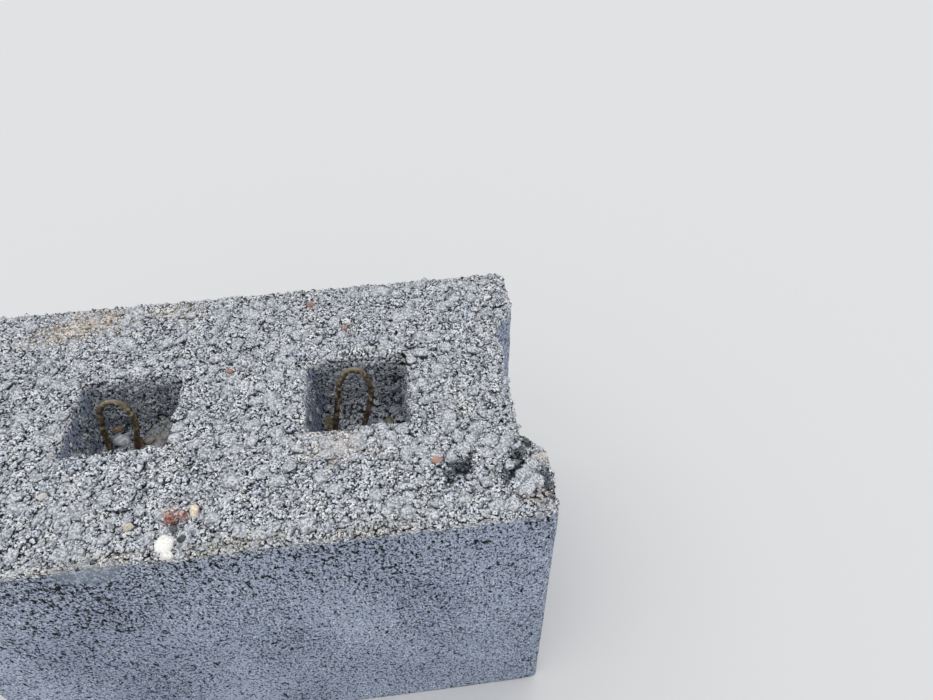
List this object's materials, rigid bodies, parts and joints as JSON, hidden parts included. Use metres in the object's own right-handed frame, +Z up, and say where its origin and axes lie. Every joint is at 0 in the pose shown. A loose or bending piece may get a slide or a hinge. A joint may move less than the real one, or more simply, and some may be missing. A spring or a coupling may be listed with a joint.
{
  "type": "precast concrete foundation wall block",
  "caption": "Precast foundation wall block of coarse grey concrete with lifting pockets, rusty bar loops and mortar-grooved ends.",
  "frame": {"origin": "centre of the bottom face, on the level ground that the block stands on", "axes": "+X along the block to the right end, +Y from the front face to the back face, +Z up"},
  "size_m": [0.88, 0.5, 0.6067],
  "materials": {
    "concrete": "matte",
    "rusty_bar": "matte"
  },
  "bodies": {
    "root": {"block": "concrete", "lifting_loop_left": "rusty_bar", "lifting_loop_right": "rusty_bar"}
  },
  "joints": []
}
